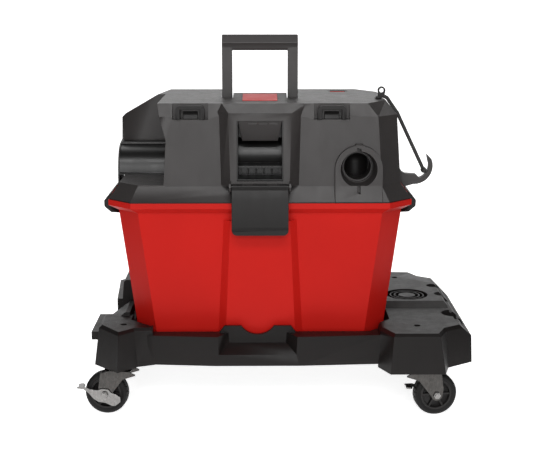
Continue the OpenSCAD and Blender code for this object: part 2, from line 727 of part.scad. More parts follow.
module carry_handle() {
  section = [[-12, 0], [-3, 14], [10, 14], [12, 8], [12, -8], [9, -14], [-7, -14]];
  color([0.33, 0.32, 0.32]) difference() {
    union() {
      along_x(-handle_w / 2, handle_w / 2) translate([handle_y, handle_top_z - 14]) polygon(section);
      for (x = [-handle_w / 2, handle_w / 2 - leg_w]) {
        block(x, x + leg_w, handle_y - 9, handle_y + 10.3, handle_pivot_z, handle_top_z - 10);
        rod_x(handle_y, handle_pivot_z, x, x + leg_w, 10.3);
      }
    }
    rod_x(handle_y, handle_pivot_z, -handle_w, handle_w, 4.06);
  }
}

module carry_handle_pin() {
  color([0.7, 0.7, 0.7]) rod_x(handle_y, handle_pivot_z, -handle_w / 2 + 1, handle_w / 2 - 1, 4);
}

module latch() {
  plate_y = -200;
  difference() {
    union() {
      for (s = [[-49, -30.4], [-12.2, 12.2], [30.4, 49]]) {
        rod_x(latch_y, latch_z, s[0], s[1], 5);
        along_x(s[0], s[1]) polygon([[-195.5, 399], [-189, 401], [-189, 409], [-193, 408.6], [-195.5, 406.8]]);
      }
      along_x(-latch_w / 2, latch_w / 2) polygon([[-193, 401], [-194.6, 401.6], [-194.6, 408], [-196.8, 408],
        [-197.4, 405.6], [-195.6, 399.5], [plate_y, 383.5], [plate_y, 335],
        [plate_y + 1.5, 329], [plate_y + 1.5, 320.5], [-194, 320.5], [-194, 382], [-188.5, 392],
        [-186.5, 396], [-190, 399.5]]);
      along_x(-32, 32) polygon([[-195, 335], [-184.5, 344], [-184.5, 347.8], [-195, 347.8]]);
    }
    for (x = [-31, 11.6]) block(x, x + 19.4, -194.1, -180, 393, 415);
    rod_x(latch_y, latch_z, -60, 60, 2.56);
    // Rounded lower corners
    for (s = [-1, 1]) along_y(-205, -180) scale([s, 1]) polygon(concat([[latch_w / 2 + 1, 329.5],
      [latch_w / 2 + 1, 319], [latch_w / 2 - 9, 319]], arc([latch_w / 2 - 9, 329.5], 9, -90, 0)));
  }
}

module latch_pin() {
  rod_x(latch_y, latch_z, -53.6, 53.6, 2.5);
}

// ---------- Inside the head ----------

module motor_housing() {
  color([0.16, 0.16, 0.16]) difference() {
    rod_z(0, 35, rim_z + 8, 487, 68);
    rod_z(0, 35, rim_z + 6, 483, 63);
    for (a = [20:40:340]) translate([0, 35, 443]) rotate(a) translate([55, -6, 0]) cube([20, 12, 26]);
  }
  difference() {
    rod_z(0, 35, 411, 415, 63.4);
    rod_z(0, 35, 403, 423, 11.05);
    for (a = [0:60:300]) translate([0, 35, 403]) rotate(a) translate([48, 0, 0]) cylinder(h = 20, r = 8);
  }
}

module motor_body() {
  color([0.6, 0.6, 0.6]) difference() {
    rod_z(0, 35, 415, 473, 36);
    rod_z(0, 35, 421, 466, 30);
    rod_z(0, 35, 403, 483, 11.05);
  }
}

module motor_shaft() {
  color([0.8, 0.8, 0.8]) union() {
    rod_z(0, 35, 387, 477, 4);
    rod_z(0, 35, 423, 464, 22);
  }
}

module impeller() {
  color([0.75, 0.75, 0.75]) difference() {
    union() {
      rod_z(0, 35, 389, 391, 56);
      rod_z(0, 35, 403, 405, 56);
      rod_z(0, 35, 389, 405, 10);
      for (a = [0:45:315]) translate([0, 35, 390]) rotate(a) translate([9, -1, 0]) rotate(18) cube([44, 2, 14]);
    }
    rod_z(0, 35, 383, 413, 4);
    difference() {
      rod_z(0, 35, 388, 392, 26);
      rod_z(0, 35, 383, 413, 10);
    }
  }
}

module motor_bearings() {
  color([0.7, 0.7, 0.75]) for (z = [411, 467]) difference() {
    rod_z(0, 35, z, z + 6, 11);
    rod_z(0, 35, z - 1, z + 7, 4.05);
  }
}

module motor_controller() {
  color([0.1, 0.3, 0.15]) block(95, 165, 60, 110, rim_z + 3, rim_z + 5);
  color([0.2, 0.2, 0.2]) for (x = [104, 128, 150]) block(x, x + 12, 70, 92, rim_z + 4.9, rim_z + 20);
}

// ---------- Under the head ----------

cage_low_z = 265;

module float_cage() {
  color([0.85, 0.85, 0.85]) difference() {
    union() {
      rod_z(0, 35, cage_low_z, rim_z - 1.02, 40);
      rod_z(0, 35, cage_low_z - 32, cage_low_z + 1, 6);
    }
    rod_z(0, 35, cage_low_z + 4, rim_z + 1, 36.5);
    for (a = [0:45:315]) translate([0, 35, cage_low_z + 14]) rotate(a) translate([30, -7, 0]) cube([20, 14, 76]);
  }
}

module float_ball() {
  color([0.9, 0.9, 0.9]) translate([0, 35, cage_low_z + 4.3 + 30]) sphere(r = 30);
}

module filter_cartridge() {
  pleats = 40;
  color([0.85, 0.83, 0.78]) difference() {
    union() {
      rod_z(0, 35, 251, 257, 76);
      rod_z(0, 35, 361, rim_z - 1.04, 76);
      translate([0, 35, 256]) linear_extrude(106) difference() {
        polygon([for (i = [0:2 * pleats - 1]) let (r = i % 2 == 0 ? 73 : 62, a = i * 180 / pleats)
          [r * cos(a), r * sin(a)]]);
        circle(r = 55);
      }
    }
    rod_z(0, 35, 256.9, rim_z, 40.3);
    rod_z(0, 35, 243, 263, 6.2);
    difference() {
      rod_z(0, 35, 257, 361, 55);
    }
  }
}

module filter_nut() {
  color([0.12, 0.12, 0.12]) difference() {
    union() {
      rod_z(0, 35, 241, 250.7, 20);
      for (a = [0:60:300]) translate([0, 35, 241]) rotate(a) translate([19, 0, 0]) cylinder(h = 9.7, r = 4);
    }
    rod_z(0, 35, 231, 253, 6.06);
  }
}

// ---------- Switch, exhaust and hose strap ----------

module switch_bezel() {
  color([0.1, 0.1, 0.1]) difference() {
    block(131.1, 168.9, 82.1, 117.9, 525, lid_top_z - 0.4);
    block(135, 165, 87, 113, 527, lid_top_z + 5);
    rod_x(100, 534, 132, 168, 2.06);
  }
}

module power_switch() {
  color([0.7, 0.1, 0.1]) union() {
    along_x(135.6, 164.4) polygon([[88.5, 532], [88.5, 539.2], [100, 537.6], [111.5, 542.6], [111.5, 535.5],
      [100, 530]]);
    rod_x(100, 534, 132.2, 167.8, 2);
  }
}

module exhaust_grille() {
  color([0.12, 0.12, 0.12]) difference() {
    block(-69.8, 69.8, 152, 161, 439.2, 488.8);
    block(-66, 66, 155, 158, 443, 485);
    for (z = [444:6:480]) block(-64, 64, 150, 170, z, z + 3);
  }
}

module strap_segment(a, b) {
  d = b - a;
  translate([a[0], strap_y, a[1]]) rotate([0, atan2(d[0], d[1]), 0]) cylinder(h = norm(d), r = cord_d / 2);
}

module strap_cord() {
  path = [strap_eye + 5.3 * (strap_bend - strap_eye) / norm(strap_bend - strap_eye), strap_bend, strap_top, strap_end];
  color([0.08, 0.08, 0.08]) union() {
    for (i = [0:2]) strap_segment(path[i], path[i + 1]);
    for (i = [1, 2]) translate([path[i][0], strap_y, path[i][1]]) sphere(r = cord_d / 2 + 0.2);
  }
}

module strap_eyelet() {
  color([0.1, 0.1, 0.1]) difference() {
    rod_y(strap_eye[0], strap_eye[1], strap_y - 3.2, strap_y + 3.2, 5.2);
    rod_y(strap_eye[0], strap_eye[1], strap_y - 5, strap_y + 5, 2.06);
  }
}

module strap_pin() {
  color([0.75, 0.75, 0.75]) rod_y(strap_eye[0], strap_eye[1], strap_y - 8.5, strap_y + 8.5, 2);
}

module strap_hook() {
  color([0.08, 0.08, 0.08]) difference() {
    union() {
      // Pull loop that stands up and a foot that lies on the head
      along_y(strap_y - 3.5, strap_y + 3.5) difference() {
        union() {
          translate([219, 559]) circle(r = 7);
          polygon([[212.5, 556], [225.6, 556], [223.6, 547.5], [216, lid_top_z + 0.4], [213, lid_top_z + 0.4]]);
        }
        translate([219, 559]) circle(r = 4);
      }
      along_y(strap_y - 9, strap_y + 9) polygon([[207, lid_top_z + 0.4], [219, lid_top_z + 0.4],
        [219, 549], [209, 549]]);
    }
    strap_segment(strap_end + 0.3 * (strap_end - strap_top), strap_top);
  }
}

module hose_hook_arm() {
  color([0.42, 0.41, 0.4]) difference() {
    along_y(strap_y - 8, strap_y + 8) polygon(concat([[256.3, 391.9], [262, 384.3], [270, 386], [279, 388.6]],
      arc([281, 422], 33.4, -80, 22, 9), [[303, 444]], arc([283, 423], 24, 22, -72, 8),
      [[284, 407], [264, 408.5], [256.3, 413]]));
    along_y(strap_y - 3.6, strap_y + 3.6) polygon([[290, 407], [304, 407], [304, 445], [278, 445]]);
    rod_y(strap_eye[0], strap_eye[1], strap_y - 12, strap_y + 12, 2);
  }
}

in_frame() dolly_deck();
in_frame() caster_stems();
in_frame() caster_grip_rings();
in_frame() at_caster(fl_swivel, -1, front_turn) caster_fork();  // caster_fork_fl
in_frame() at_caster(fr_swivel, 1, front_turn) caster_fork();  // caster_fork_fr
in_frame() at_caster(rl_swivel, -1, rear_turn) caster_fork();  // caster_fork_rl
in_frame() at_caster(rr_swivel, 1, rear_turn) caster_fork();  // caster_fork_rr
in_frame() at_caster(fl_swivel, -1, front_turn) wheel_hub();  // wheel_hub_fl
in_frame() at_caster(fr_swivel, 1, front_turn) wheel_hub();  // wheel_hub_fr
in_frame() at_caster(rl_swivel, -1, rear_turn) wheel_hub();  // wheel_hub_rl
in_frame() at_caster(rr_swivel, 1, rear_turn) wheel_hub();  // wheel_hub_rr
in_frame() at_caster(fl_swivel, -1, front_turn) tyre();  // tyre_fl
in_frame() at_caster(fr_swivel, 1, front_turn) tyre();  // tyre_fr
in_frame() at_caster(rl_swivel, -1, rear_turn) tyre();  // tyre_rl
in_frame() at_caster(rr_swivel, 1, rear_turn) tyre();  // tyre_rr
in_frame() at_caster(fl_swivel, -1, front_turn) wheel_axle(-1);  // wheel_axle_fl
in_frame() at_caster(fr_swivel, 1, front_turn) wheel_axle(1);  // wheel_axle_fr
in_frame() at_caster(rl_swivel, -1, rear_turn) wheel_axle();  // wheel_axle_rl
in_frame() at_caster(rr_swivel, 1, rear_turn) wheel_axle();  // wheel_axle_rr
in_frame() at_caster(fl_swivel, -1, front_turn) brake_lever();  // brake_lever_fl
in_frame() at_caster(fr_swivel, 1, front_turn) brake_lever(180);  // brake_lever_fr
in_frame() tank();
in_frame() mirror([1, 0, 0]) side_handle();  // side_handle_left
in_frame() side_handle();  // side_handle_right
in_frame() tank_seal();
in_frame() lid_shell();
in_frame() lid_base();
in_frame() inlet_collar();
in_frame() inlet_elbow();
in_frame() battery_bay_liner();
in_frame() battery_hood();
in_frame() battery_contacts();
in_frame() label_plate();
in_frame() hose_cradle_liner();
in_frame() carry_handle();
in_frame() carry_handle_pin();
in_frame() latch();  // front_latch
in_frame() latch_pin();  // front_latch_pin
in_frame() mirror([0, 1, 0]) latch();  // rear_latch
in_frame() mirror([0, 1, 0]) latch_pin();  // rear_latch_pin
in_frame() motor_housing();
in_frame() motor_body();
in_frame() motor_shaft();
in_frame() impeller();
in_frame() motor_bearings();
in_frame() motor_controller();
in_frame() float_cage();
in_frame() float_ball();
in_frame() filter_cartridge();
in_frame() filter_nut();
in_frame() switch_bezel();
in_frame() power_switch();
in_frame() exhaust_grille();
in_frame() strap_cord();
in_frame() strap_hook();
in_frame() strap_eyelet();
in_frame() hose_hook_arm();
in_frame() strap_pin();
in_frame() loop_clips();
in_frame() lid_screws();
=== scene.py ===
"""Looks for the shop vacuum: every CAD node becomes a piece with rounded edges and a procedural material."""
import json
import math
import bmesh
import bpy
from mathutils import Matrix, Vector


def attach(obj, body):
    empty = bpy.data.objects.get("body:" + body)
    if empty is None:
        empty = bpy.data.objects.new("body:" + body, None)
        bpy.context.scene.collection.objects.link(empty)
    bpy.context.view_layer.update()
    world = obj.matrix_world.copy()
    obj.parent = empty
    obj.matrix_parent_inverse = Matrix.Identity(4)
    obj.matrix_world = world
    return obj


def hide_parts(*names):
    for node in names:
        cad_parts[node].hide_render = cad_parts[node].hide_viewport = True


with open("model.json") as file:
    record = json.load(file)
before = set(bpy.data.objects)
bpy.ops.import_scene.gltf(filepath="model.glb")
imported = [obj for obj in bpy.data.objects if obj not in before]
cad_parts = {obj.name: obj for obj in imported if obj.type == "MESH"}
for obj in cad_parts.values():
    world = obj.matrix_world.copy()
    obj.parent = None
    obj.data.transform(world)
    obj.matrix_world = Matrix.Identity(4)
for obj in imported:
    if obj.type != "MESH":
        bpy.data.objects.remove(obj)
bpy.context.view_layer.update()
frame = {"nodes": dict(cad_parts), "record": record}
NODES = frame["nodes"]
BODY = {n: b for b, members in frame["record"]["behaviour"]["bodies"].items() for n in members}
SLOT = {s["node"]: s["material_slot"] for s in frame["record"]["subparts"]}

# The row frame is the tank's own middle moved by this much, in metres
SHIFT = Vector((-0.0275226, 0.019, 0))


def place(x, y, z):
    """A point given in millimetres about the tank's middle, in the row frame."""
    return Vector((x, y, z)) / 1000 + SHIFT


# ---------- Materials ----------


class Nodes:
    """A small helper that adds and links shader nodes."""

    def __init__(self, name):
        self.mat = bpy.data.materials.new(name)
        self.mat.use_nodes = True
        self.tree = self.mat.node_tree
        self.tree.nodes.clear()
        self.out = self.add("ShaderNodeOutputMaterial")
        self.bsdf = self.add("ShaderNodeBsdfPrincipled")
        self.link(self.bsdf, "BSDF", self.out, "Surface")
        self.coords = self.add("ShaderNodeTexCoord")

    def add(self, kind, **values):
        node = self.tree.nodes.new(kind)
        for key, value in values.items():
            if hasattr(node, key):
                setattr(node, key, value)
            else:
                node.inputs[key.replace("_", " ")].default_value = value
        return node

    def link(self, a, out, b, into):
        self.tree.links.new(a.outputs[out], b.inputs[into])

    def scaled(self, scale):
        """Object coordinates, stretched."""
        m = self.add("ShaderNodeMapping")
        m.inputs["Scale"].default_value = scale
        self.link(self.coords, "Object", m, "Vector")
        return m

    def noise(self, scale, detail=2.0, rough=0.5, stretch=None):
        n = self.add("ShaderNodeTexNoise", Scale=scale, Detail=detail, Roughness=rough)
        if stretch:
            self.link(self.scaled(stretch), "Vector", n, "Vector")
        else:
            self.link(self.coords, "Object", n, "Vector")
        return n

    def ramp(self, source, out, stops):
        r = self.add("ShaderNodeValToRGB")
        band = r.color_ramp
        while len(band.elements) < len(stops):
            band.elements.new(0.5)
        for e, (at, c) in zip(band.elements, stops):
            e.position = at
            e.color = (*c, 1) if len(c) == 3 else c
        self.link(source, out, r, "Fac")
        return r

    def range(self, source, out, low, high, to_low, to_high):
        m = self.add("ShaderNodeMapRange")
        for key, value in zip(("From Min", "From Max", "To Min", "To Max"), (low, high, to_low, to_high)):
            m.inputs[key].default_value = value
        self.link(source, out, m, "Value")
        return m

    def mix(self, a, a_out, b, b_out, fac, fac_out="Result", blend="MIX"):
        m = self.add("ShaderNodeMix", data_type="RGBA", blend_type=blend)
        self.tree.links.new(a.outputs[a_out], m.inputs[6])
        if isinstance(b, tuple):
            m.inputs[7].default_value = (*b, 1)
        else:
            self.tree.links.new(b.outputs[b_out], m.inputs[7])
        if isinstance(fac, (int, float)):
            m.inputs[0].default_value = fac
        else:
            self.tree.links.new(fac.outputs[fac_out], m.inputs[0])
        return m

    def bump(self, source, out, strength, distance, below=None):
        b = self.add("ShaderNodeBump", Strength=strength, Distance=distance)
        self.link(source, out, b, "Height")
        if below:
            self.link(below, "Normal", b, "Normal")
        return b


def shade(c, k):
    return tuple(min(1.0, v * k) for v in c)


def plastic(name, colour, rough, grain=0.5, grain_scale=1500, spread=0.12, scuff=0.35, spec=0.5):
    """Moulded plastic: spark-eroded grain, slow colour drift, fine scuffs that catch the light."""
    n = Nodes(name)
    drift = n.noise(9, 3, 0.55)
    base = n.ramp(drift, "Fac", [(0.3, shade(colour, 1 - spread)), (0.7, shade(colour, 1 + spread))])
    fine = n.noise(grain_scale, 2, 0.6)
    speck = n.ramp(fine, "Fac", [(0.35, (0.86, 0.86, 0.86)), (0.65, (1.1, 1.1, 1.1))])
    col = n.mix(base, "Color", speck, "Color", 0.55, blend="MULTIPLY")
    rub = n.noise(60, 6, 0.7, stretch=(1, 1, 0.35))
    mark = n.range(rub, "Fac", 0.62, 0.82, 0.0, scuff)
    col = n.mix(col, 2, shade(colour, 1.6), None, mark)
    n.tree.links.new(col.outputs[2], n.bsdf.inputs["Base Color"])
    gloss = n.range(rub, "Fac", 0.3, 0.75, rough - 0.05, rough + 0.08)
    n.link(gloss, "Result", n.bsdf, "Roughness")
    b1 = n.bump(fine, "Fac", grain, 0.00025)
    wave = n.noise(45, 2, 0.5)
    b2 = n.bump(wave, "Fac", 0.12, 0.0006, b1)
    n.link(b2, "Normal", n.bsdf, "Normal")
    n.bsdf.inputs["Specular IOR Level"].default_value = spec
    n.bsdf.inputs["IOR"].default_value = 1.48
    return n.mat


def tank_red(name, colour):
    """Satin blow-moulded red: faint orange peel, and painted shade that darkens the walls low down."""
    n = Nodes(name)
    drift = n.noise(6, 3, 0.5)
    base = n.ramp(drift, "Fac", [(0.3, shade(colour, 0.95)), (0.7, shade(colour, 1.05))])
    xyz = n.add("ShaderNodeSeparateXYZ")
    n.link(n.coords, "Object", xyz, "Vector")
    # painted shade: the walls are darkened towards the bottom, where less light reaches them
    low = n.range(xyz, "Z", 0.13, 0.36, 0.16, 0.0)
    col = n.mix(base, "Color", shade(colour, 0.80), None, low)
    fine = n.noise(1200, 2, 0.5)
    n.tree.links.new(col.outputs[2], n.bsdf.inputs["Base Color"])
    rub = n.noise(50, 6, 0.7, stretch=(1, 1, 0.25))
    gloss = n.range(rub, "Fac", 0.3, 0.75, 0.42, 0.52)
    n.link(gloss, "Result", n.bsdf, "Roughness")
    b1 = n.bump(fine, "Fac", 0.25, 0.0002)
    peel = n.noise(70, 2, 0.5)
    b2 = n.bump(peel, "Fac", 0.14, 0.0006, b1)
    n.link(b2, "Normal", n.bsdf, "Normal")
    n.bsdf.inputs["Specular IOR Level"].default_value = 0.12
    return n.mat


def rubber(name, colour, rough=0.72, spec=0.4):
    """Matte black rubber with dusty patches."""
    n = Nodes(name)
    dust = n.noise(120, 6, 0.65)
    base = n.ramp(dust, "Fac", [(0.35, colour), (0.62, shade(colour, 1.25)), (0.8, shade(colour, 2.6))])
    n.link(base, "Color", n.bsdf, "Base Color")
    fine = n.noise(1800, 3, 0.6)
    b = n.bump(fine, "Fac", 0.35, 0.0003)
    n.link(b, "Normal", n.bsdf, "Normal")
    gloss = n.range(dust, "Fac", 0.3, 0.8, rough - 0.1, rough + 0.12)
    n.link(gloss, "Result", n.bsdf, "Roughness")
    n.bsdf.inputs["Specular IOR Level"].default_value = spec
    return n.mat


def zinc(name, colour=(0.62, 0.61, 0.58), rough=0.3):
    """Zinc-plated pressed steel: soft spangle, drawn lines and small dark stains."""
    n = Nodes(name)
    cells = n.add("ShaderNodeTexVoronoi", Scale=260.0)
    n.link(n.coords, "Object", cells, "Vector")
    tone = n.ramp(cells, "Color", [(0.0, shade(colour, 0.84)), (1.0, shade(colour, 1.12))])
    stain = n.noise(90, 6, 0.7)
    dirt = n.range(stain, "Fac", 0.58, 0.8, 0.0, 0.6)
    col = n.mix(tone, "Color", (0.13, 0.12, 0.11), None, dirt)
    n.tree.links.new(col.outputs[2], n.bsdf.inputs["Base Color"])
    lines = n.noise(700, 2, 0.6, stretch=(1, 1, 0.08))
    gloss = n.range(lines, "Fac", 0.3, 0.7, rough - 0.08, rough + 0.14)
    n.link(gloss, "Result", n.bsdf, "Roughness")
    b = n.bump(lines, "Fac", 0.12, 0.0002)
    n.link(b, "Normal", n.bsdf, "Normal")
    n.bsdf.inputs["Metallic"].default_value = 1.0
    return n.mat


def woven_cord(name):
    """Braided sleeve of an elastic cord."""
    n = Nodes(name)
    a = n.add("ShaderNodeTexWave", Scale=160.0, wave_type="BANDS", bands_direction="DIAGONAL")
    n.link(n.coords, "Object", a, "Vector")
    b = n.add("ShaderNodeTexWave", Scale=160.0, wave_type="BANDS", bands_direction="DIAGONAL")
    n.link(n.scaled((-1, 1, 1)), "Vector", b, "Vector")
    weave = n.mix(a, "Color", b, "Color", 1.0, blend="LIGHTEN")
    base = n.ramp(weave, 2, [(0.0, (0.008, 0.008, 0.008)), (1.0, (0.04, 0.038, 0.037))])
    n.link(base, "Color", n.bsdf, "Base Color")
    bump = n.bump(weave, 2, 0.8, 0.0006)
    n.link(bump, "Normal", n.bsdf, "Normal")
    n.bsdf.inputs["Roughness"].default_value = 0.78
    return n.mat


def paper(name):
    n = Nodes(name)
    fibre = n.noise(900, 6, 0.7, stretch=(1, 1, 0.3))
    base = n.ramp(fibre, "Fac", [(0.3, (0.60, 0.56, 0.46)), (0.7, (0.78, 0.74, 0.65))])
    n.link(base, "Color", n.bsdf, "Base Color")
    b = n.bump(fibre, "Fac", 0.4, 0.0004)
    n.link(b, "Normal", n.bsdf, "Normal")
    n.bsdf.inputs["Roughness"].default_value = 0.9
    return n.mat


def board(name):
    n = Nodes(name)
    tracks = n.add("ShaderNodeTexBrick", Scale=180.0)
    n.link(n.coords, "Object", tracks, "Vector")
    tracks.inputs["Color1"].default_value = (0.012, 0.09, 0.03, 1)
    tracks.inputs["Color2"].default_value = (0.016, 0.12, 0.04, 1)
    tracks.inputs["Mortar"].default_value = (0.05, 0.22, 0.09, 1)
    n.link(tracks, "Color", n.bsdf, "Base Color")
    b = n.bump(tracks, "Fac", 0.3, 0.0002)
    n.link(b, "Normal", n.bsdf, "Normal")
    n.bsdf.inputs["Roughness"].default_value = 0.45
    return n.mat


MATS = {
    "deck": plastic("deck_plastic", (0.0065, 0.0052, 0.0049), 0.44,
                    grain=0.5, grain_scale=1300, spread=0.12, scuff=0.22, spec=0.22),
    "head": plastic("head_plastic", (0.030, 0.0268, 0.0262), 0.42,
                    grain=0.5, grain_scale=1400, spread=0.10, scuff=0.16, spec=0.42),
    "black": plastic("black_nylon", (0.012, 0.011, 0.0108), 0.42,
                     grain=0.4, grain_scale=1600, spread=0.12, scuff=0.2, spec=0.25),
    "gloss": plastic("gloss_liner", (0.004, 0.0037, 0.0036), 0.33,
                     grain=0.10, grain_scale=900, spread=0.1, scuff=0.12, spec=0.45),
    "tank": tank_red("tank_plastic", (0.47, 0.0100, 0.0065)),
    "red": plastic("red_plastic", (0.52, 0.014, 0.011), 0.36,
                   grain=0.25, grain_scale=1500, spread=0.05, scuff=0.05, spec=0.3),
    "tyre": rubber("tyre_rubber", (0.0045, 0.0042, 0.0042), 0.6, 0.2),
    "rubber": rubber("soft_rubber", (0.010, 0.010, 0.010), 0.6),
    # zinc_steel is darkened as painted shade, for the caster forks that sit in shadow and mirror the dark
    # wheels and deck
    "zinc": zinc("zinc_steel", (0.075, 0.072, 0.069), 0.2),
    # the next finish is the same zinc painted lighter: painted light on the brake levers and axles
    "painted_light_zinc": zinc("zinc_painted_light", (0.24, 0.235, 0.23), 0.22),
    "pin": zinc("blackened_steel", (0.05, 0.048, 0.046), 0.35),
    "alloy": zinc("motor_alloy", (0.55, 0.55, 0.56), 0.38),
    "brass": zinc("contact_brass", (0.62, 0.42, 0.16), 0.3),
    "cord": woven_cord("braided_cord"),
    "paper": paper("filter_paper"),
    "float": plastic("float_plastic", (0.62, 0.62, 0.61), 0.45, grain=0.2, spread=0.04, scuff=0.05),
    "board": board("controller_board"),
}
BY_SLOT = {
    "deck_plastic": "deck", "head_plastic": "head", "tank_plastic": "tank", "black_plastic": "black",
    "gloss_black": "gloss", "red_plastic": "red", "tyre_rubber": "tyre", "soft_rubber": "rubber",
    "zinc_steel": "zinc", "motor_alloy": "alloy", "contact_brass": "brass", "filter_paper": "paper",
    "float_plastic": "float", "board": "board",
}
# battery_contacts take the dark pin steel as painted shade, because they sit in shadow deep in the battery
# bay
OVERRIDE = {"strap_cord": "cord", "front_latch_pin": "pin", "rear_latch_pin": "pin", "strap_pin": "pin",
            "battery_contacts": "pin"}
# The axles and brake levers take the lighter zinc finish: painted light on the same zinc-plated steel as the
# forks.
for corner in ("fl", "fr", "rl", "rr"):
    OVERRIDE["wheel_axle_" + corner] = "painted_light_zinc"
for corner in ("fl", "fr"):
    OVERRIDE["brake_lever_" + corner] = "painted_light_zinc"

# ---------- Geometry ----------

MM = 0.001
# Corners closer than this are one corner
WELD = 0.001 * MM
# Edges shorter than this are dropped
SPECK = 0.002 * MM
# Faces within this angle of each other are merged, in degrees
FLAT = 0.6
# A ring face has more corners than this, and its triangles cover it more times over than OVERLAP
RING_CORNERS = 8
OVERLAP = 10
# Widest gap that closing a ring face may pull together
SLIVER = 0.3 * MM
# A face must be this many times as wide as the rounding that it takes
ROOM = 2.3
# Edges below this angle are shaded smooth, in degrees
SMOOTH_ANGLE = 20
# Two faces above BROAD square metres that meet at more than CREASE_ANGLE degrees keep a crisp crease
BROAD = 500e-6
CREASE_ANGLE = 4


def close_slivers(bm):
    """Closes hair-thin ring faces, whose triangles would cover the opening inside the ring."""
    covered = {}
    for a, b, c in bm.calc_loop_triangles():
        area = (b.vert.co - a.vert.co).cross(c.vert.co - a.vert.co).length / 2
        covered[a.face] = covered.get(a.face, 0.0) + area
    rings = [f for f, area in covered.items()
             if len(f.verts) > RING_CORNERS and area > OVERLAP * f.calc_area()]
    if rings:
        verts = list({v for f in rings for v in f.verts})
        bmesh.ops.delete(bm, geom=rings, context="FACES_ONLY")
        bmesh.ops.remove_doubles(bm, verts=[v for v in verts if v.is_valid], dist=SLIVER)


def cleaned(node):
    """The CAD node's mesh with its faces joined up and flat regions merged."""
    bm = bmesh.new()
    bm.from_mesh(NODES[node].data)
    bmesh.ops.remove_doubles(bm, verts=bm.verts, dist=WELD)
    bmesh.ops.dissolve_degenerate(bm, dist=SPECK, edges=bm.edges)
    bmesh.ops.dissolve_limit(bm, angle_limit=math.radians(FLAT), verts=bm.verts, edges=bm.edges,
                             use_dissolve_boundaries=False)
    return bm


def is_sharp(e, limit):
    return len(e.link_faces) == 2 and e.calc_face_angle(0) > limit


def round_edges(bm, width, limit=22, segments=2, face=0.0):
    """Rounds the edges that have room for it on both sides, leaving the rest sharp."""
    limit = math.radians(limit)
    done = bm.edges.layers.int.get("rounded") or bm.edges.layers.int.new("rounded")
    picked = []
    for e in bm.edges:
        if not is_sharp(e, limit) or e[done]:
            continue
        if e.calc_length() < width * ROOM or (face and min(f.calc_area() for f in e.link_faces) < face):
            continue
        tight = False
        for v in e.verts:
            for o in v.link_edges:
                if o is not e and o.calc_length() < width * ROOM and not o[done]:
                    tight = True
        for f in e.link_faces:
            # the face must be wide enough across the edge
            d = (e.verts[1].co - e.verts[0].co).normalized()
            across = d.cross(f.normal)
            at = e.verts[0].co
            reach = max(abs((v.co - at).dot(across)) for v in f.verts)
            if reach < width * ROOM:
                tight = True
        if not tight:
            picked.append(e)
    if not picked:
        return
    out = bmesh.ops.bevel(bm, geom=picked, offset=width, offset_type="OFFSET", segments=segments, profile=0.5,
                          affect="EDGES", clamp_overlap=True, loop_slide=True, miter_outer="SHARP")
    for f in out["faces"]:
        for e in f.edges:
            e[done] = 1


def finish_piece(name, bm, body, mat):
    """Turns a bmesh into a piece with smooth rounds and flat faces."""
    mesh = bpy.data.meshes.new(name)
    close_slivers(bm)
    bm.normal_update()
    done = bm.edges.layers.int.get("rounded")
    for e in bm.edges:
        rounded = bool(done and e[done])
        angle = math.degrees(e.calc_face_angle(0)) if len(e.link_faces) == 2 else 180
        e.smooth = len(e.link_faces) == 2 and (rounded or angle < SMOOTH_ANGLE)
        if e.smooth and not rounded and angle > CREASE_ANGLE:
            e.smooth = min(f.calc_area() for f in e.link_faces) < BROAD
    bm.to_mesh(mesh)
    bm.free()
    obj = bpy.data.objects.new(name, mesh)
    bpy.context.scene.collection.objects.link(obj)
    for p in mesh.polygons:
        p.use_smooth = True
    mod = obj.modifiers.new("normals", "WEIGHTED_NORMAL")
    mod.keep_sharp = True
    mod.weight = 60
    mesh.materials.append(MATS[mat])
    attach(obj, body)
    return obj


def rebuild(node, *passes):
    """Replaces a CAD node by the same shape with rounded edges. Each pass is a dict for round_edges."""
    bm = cleaned(node)
    for p in passes:
        round_edges(bm, **p)
    slot = SLOT[node]
    obj = finish_piece(node + "_form", bm, BODY[node], OVERRIDE.get(node, BY_SLOT[slot]))
    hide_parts(node)


MID = dict(width=1.1 * MM, segments=3)
SMALL = dict(width=0.5 * MM, segments=2)
CREASE = dict(width=1.2 * MM, segments=2, limit=9, face=300e-6)



PASSES = {
    "dolly_deck": [dict(width=1.5 * MM, segments=3), dict(width=0.9 * MM, segments=2), CREASE, SMALL],
    "tank": [dict(width=2.2 * MM, segments=3), MID, CREASE, SMALL],
    "lid_shell": [dict(width=1.4 * MM, segments=3), dict(width=0.9 * MM, segments=2), CREASE, SMALL],
    "carry_handle": [dict(width=1.2 * MM, segments=3), SMALL],
    "front_latch": [dict(width=0.9 * MM, segments=3), SMALL],
    "rear_latch": [dict(width=0.9 * MM, segments=3), SMALL],
    "side_handle_left": [dict(width=1.4 * MM, segments=3), SMALL],
    "side_handle_right": [dict(width=1.4 * MM, segments=3), SMALL],
    "hose_hook_arm": [MID, SMALL],
    "inlet_collar": [MID, SMALL],
    "loop_clips": [dict(width=1.0 * MM, segments=3), SMALL],
    "battery_hood": [MID, SMALL],
    "battery_bay_liner": [SMALL],
    "hose_cradle_liner": [SMALL],
    "label_plate": [SMALL],
    "strap_hook": [dict(width=0.8 * MM, segments=2)],
    "strap_cord": [],
    "lid_base": [SMALL],
    "motor_housing": [SMALL],
    "float_ball": [],
    "impeller": [],
    "filter_cartridge": [SMALL],
    "power_switch": [SMALL],
    "switch_bezel": [SMALL],
    "exhaust_grille": [SMALL],
    "tank_seal": [],
}
